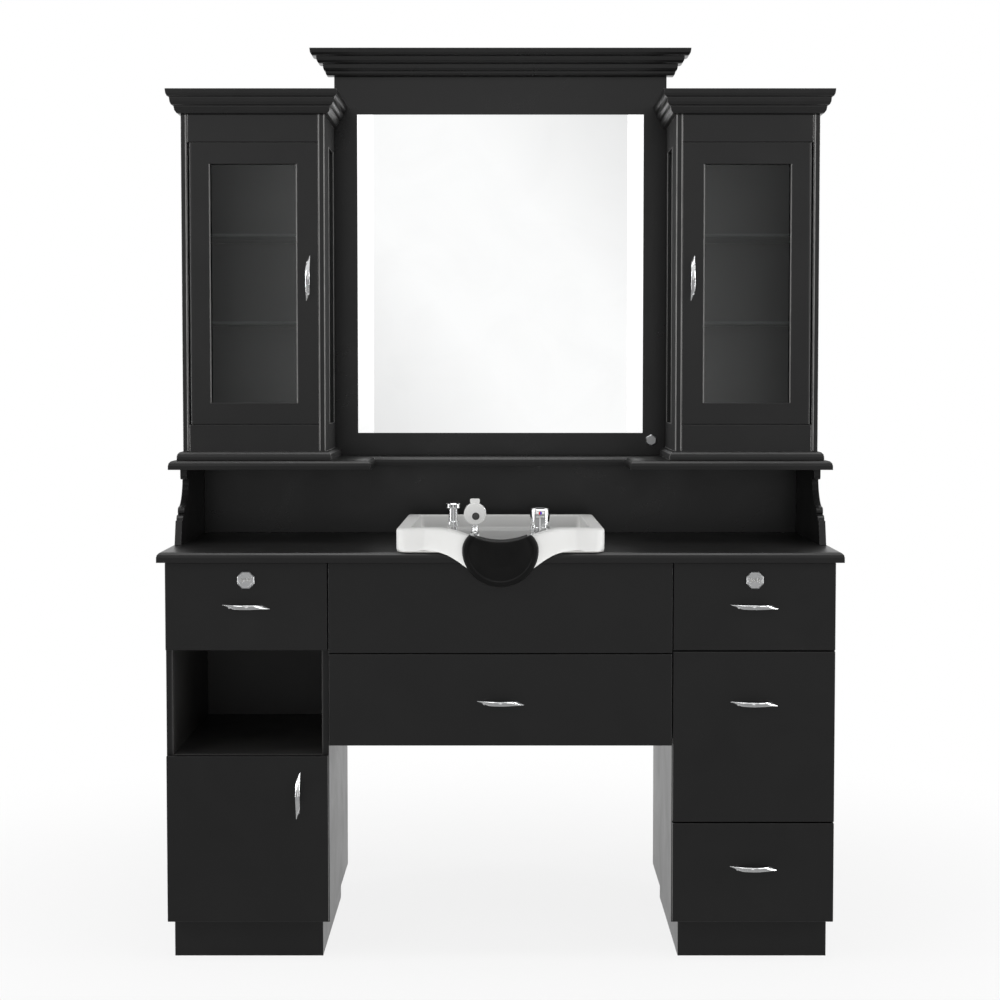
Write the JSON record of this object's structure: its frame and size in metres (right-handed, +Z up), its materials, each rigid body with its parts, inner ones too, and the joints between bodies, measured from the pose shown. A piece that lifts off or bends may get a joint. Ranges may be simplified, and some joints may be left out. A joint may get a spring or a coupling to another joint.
{
  "type": "shampoo station",
  "caption": "Black salon wash station: drawer pedestals, counter with a shampoo bowl, neck rest, mixer and spray, and a hutch with a lit mirror between glazed cases.",
  "frame": {"origin": "on the floor, midway between the neck rest's front and the back, on the plane of symmetry", "axes": "+Z up, -Y out of the front, +X to the right of someone facing the front"},
  "size_m": [1.628, 0.7234, 2.2147],
  "materials": {
    "black_paint": "satin black paint on board",
    "black_melamine": "matt black melamine",
    "chrome": "polished",
    "satin_chrome": "satin",
    "glazed_ceramic": "white glaze",
    "black_rubber": "smooth",
    "white_plastic": "gloss",
    "pipe_plastic": "grey",
    "clear_glass": "clear",
    "mirror": "silvered",
    "light_diffuser": "opal"
  },
  "bodies": {
    "station": {"bowl_waste": "pipe_plastic", "centre_cornice": "black_paint", "centre_frame": "black_paint", "countertop": "black_paint", "hutch_shelf": "black_paint", "left_bracket": "black_paint", "left_case": "black_paint", "left_cornice": "black_paint", "left_light": "light_diffuser", "left_pedestal": "black_paint", "left_plinth": "black_paint", "left_shelf_lower": "clear_glass", "left_shelf_upper": "clear_glass", "left_side_glass": "clear_glass", "mirror_board": "black_paint", "mirror_glass": "mirror", "mixer_body": "chrome", "neck_rest": "black_rubber", "right_bracket": "black_paint", "right_case": "black_paint", "right_cornice": "black_paint", "right_light": "light_diffuser", "right_pedestal": "black_paint", "right_plinth": "black_paint", "right_shelf_lower": "clear_glass", "right_shelf_upper": "clear_glass", "right_side_glass": "clear_glass", "riser_back": "black_paint", "shampoo_bowl": "glazed_ceramic", "vacuum_breaker": "chrome"},
    "left_drawer": {"left_drawer_front": "black_paint", "left_drawer_box": "black_melamine", "left_drawer_handle": "chrome"},
    "right_top_drawer": {"right_top_drawer_front": "black_paint", "right_top_drawer_box": "black_melamine", "right_top_drawer_handle": "chrome"},
    "right_middle_drawer": {"right_middle_drawer_front": "black_paint", "right_middle_drawer_box": "black_melamine", "right_middle_drawer_handle": "chrome"},
    "right_low_drawer": {"right_low_drawer_front": "black_paint", "right_low_drawer_box": "black_melamine", "right_low_drawer_handle": "chrome"},
    "centre_drawer": {"centre_drawer_front": "black_paint", "centre_drawer_box": "black_melamine", "centre_drawer_handle": "chrome"},
    "left_door": {"left_door_frame": "black_paint", "left_door_glass": "clear_glass", "left_door_handle": "chrome"},
    "right_door": {"right_door_frame": "black_paint", "right_door_glass": "clear_glass", "right_door_handle": "chrome"},
    "base_door": {"base_door": "black_paint", "base_door_handle": "chrome"},
    "left_lock": {"left_lock": "satin_chrome"},
    "right_lock": {"right_lock": "satin_chrome"},
    "mixer_turret": {"mixer_turret": "chrome"},
    "mixer_lever": {"mixer_lever": "chrome"},
    "sprayer": {"sprayer": "white_plastic"},
    "spray_trigger": {"spray_trigger": "white_plastic"},
    "light_knob": {"light_knob": "chrome"}
  },
  "joints": [
    {"name": "left_door_swing", "type": "hinge", "parent": "station", "child": "left_door", "pos_m": [-0.7551, 0.0294, 1.6], "axis": [0, 0, -1], "range_deg": [0, 95]},
    {"name": "right_door_swing", "type": "hinge", "parent": "station", "child": "right_door", "pos_m": [0.7551, 0.0294, 1.6], "axis": [0, 0, 1], "range_deg": [0, 95]},
    {"name": "base_door_swing", "type": "hinge", "parent": "station", "child": "base_door", "pos_m": [-0.7845, -0.2623, 0.29], "axis": [0, 0, -1], "range_deg": [0, 105]},
    {"name": "left_drawer_pull", "type": "slide", "parent": "station", "child": "left_drawer", "axis": [0, -1, 0], "range_m": [0, 0.38]},
    {"name": "right_top_drawer_pull", "type": "slide", "parent": "station", "child": "right_top_drawer", "axis": [0, -1, 0], "range_m": [0, 0.38]},
    {"name": "right_middle_drawer_pull", "type": "slide", "parent": "station", "child": "right_middle_drawer", "axis": [0, -1, 0], "range_m": [0, 0.38]},
    {"name": "right_low_drawer_pull", "type": "slide", "parent": "station", "child": "right_low_drawer", "axis": [0, -1, 0], "range_m": [0, 0.38]},
    {"name": "centre_drawer_pull", "type": "slide", "parent": "station", "child": "centre_drawer", "axis": [0, -1, 0], "range_m": [0, 0.18]},
    {"name": "left_lock_turn", "type": "hinge", "parent": "left_drawer", "child": "left_lock", "pos_m": [-0.59375, -0.2813, 0.9022], "axis": [0, -1, 0], "range_deg": [0, 90]},
    {"name": "right_lock_turn", "type": "hinge", "parent": "right_top_drawer", "child": "right_lock", "pos_m": [0.59375, -0.2813, 0.9022], "axis": [0, -1, 0], "range_deg": [0, 90]},
    {"name": "mixer_turn", "type": "hinge", "parent": "station", "child": "mixer_turret", "pos_m": [0.0931, -0.2153, 1.04], "axis": [0, 0, 1], "range_deg": [-45, 45]},
    {"name": "mixer_lift", "type": "hinge", "parent": "mixer_turret", "child": "mixer_lever", "pos_m": [0.0931, -0.2153, 1.0566], "axis": [-1, 0, 0], "range_deg": [0, 25]},
    {"name": "sprayer_lift", "type": "slide", "parent": "station", "child": "sprayer", "axis": [0, 0, 1], "range_m": [0, 0.12]},
    {"name": "trigger_press", "type": "slide", "parent": "sprayer", "child": "spray_trigger", "axis": [0, 0, -1], "range_m": [0, 0.003], "stiffness_N_per_m": 400, "springref_m": -0.001},
    {"name": "knob_turn", "type": "hinge", "parent": "station", "child": "light_knob", "pos_m": [0.3924, 0.3457, 1.2101], "axis": [0, -1, 0], "range_deg": [-135, 135]}
  ]
}
